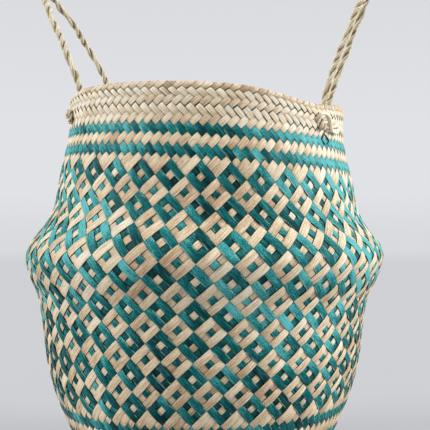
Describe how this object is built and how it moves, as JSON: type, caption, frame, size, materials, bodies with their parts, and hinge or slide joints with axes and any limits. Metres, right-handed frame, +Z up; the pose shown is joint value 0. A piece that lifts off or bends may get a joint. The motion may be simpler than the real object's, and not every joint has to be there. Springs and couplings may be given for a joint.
{
  "type": "woven planter basket",
  "caption": "Round plaited belly basket with a pushed-in neck, a doubled collar, a dyed diamond weave and knotted rope handles that fold in and out.",
  "frame": {"origin": "centre of the flat underside, where the basket stands", "axes": "+Z up out of the mouth, -Y the front, +X to the right with the lower side of the rim"},
  "size_m": [0.3485, 0.3484, 0.479],
  "materials": {
    "natural_weave": "undyed dried leaf strips, dull satin",
    "diamond_weave": "undyed and blue-green dyed leaf strips, dull satin",
    "rope": "coarse two-ply twisted plant fibre rope"
  },
  "bodies": {
    "basket": {"base_mat": "natural_weave", "lower_wall": "diamond_weave", "upper_wall": "diamond_weave", "collar_ply": "natural_weave", "right_front_knot": "rope", "right_rear_knot": "rope", "left_front_knot": "rope", "left_rear_knot": "rope"},
    "right_legs": {"right_front_leg": "rope", "right_rear_leg": "rope"},
    "right_handle": {"right_arch": "rope"},
    "left_legs": {"left_front_leg": "rope", "left_rear_leg": "rope"},
    "left_handle": {"left_arch": "rope"}
  },
  "joints": [
    {"name": "right_fold_in", "type": "hinge", "parent": "basket", "child": "right_legs", "pos_m": [0.1181, -0.02133, 0.32508], "axis": [-0.1822, -0.9832, 0.0062], "range_deg": [0, 150]},
    {"name": "right_fold_out", "type": "hinge", "parent": "right_legs", "child": "right_handle", "pos_m": [0.12059, -0.01715, 0.35115], "axis": [0.1444, 0.9895, -0.006], "range_deg": [0, 75]},
    {"name": "left_fold_in", "type": "hinge", "parent": "basket", "child": "left_legs", "pos_m": [-0.10613, 0.01924, 0.33272], "axis": [0.1736, 0.9848, -0.0059], "range_deg": [0, 150]},
    {"name": "left_fold_out", "type": "hinge", "parent": "left_legs", "child": "left_handle", "pos_m": [-0.10613, 0.01924, 0.3605], "axis": [-0.1736, -0.9848, 0.0072], "range_deg": [0, 75]}
  ]
}
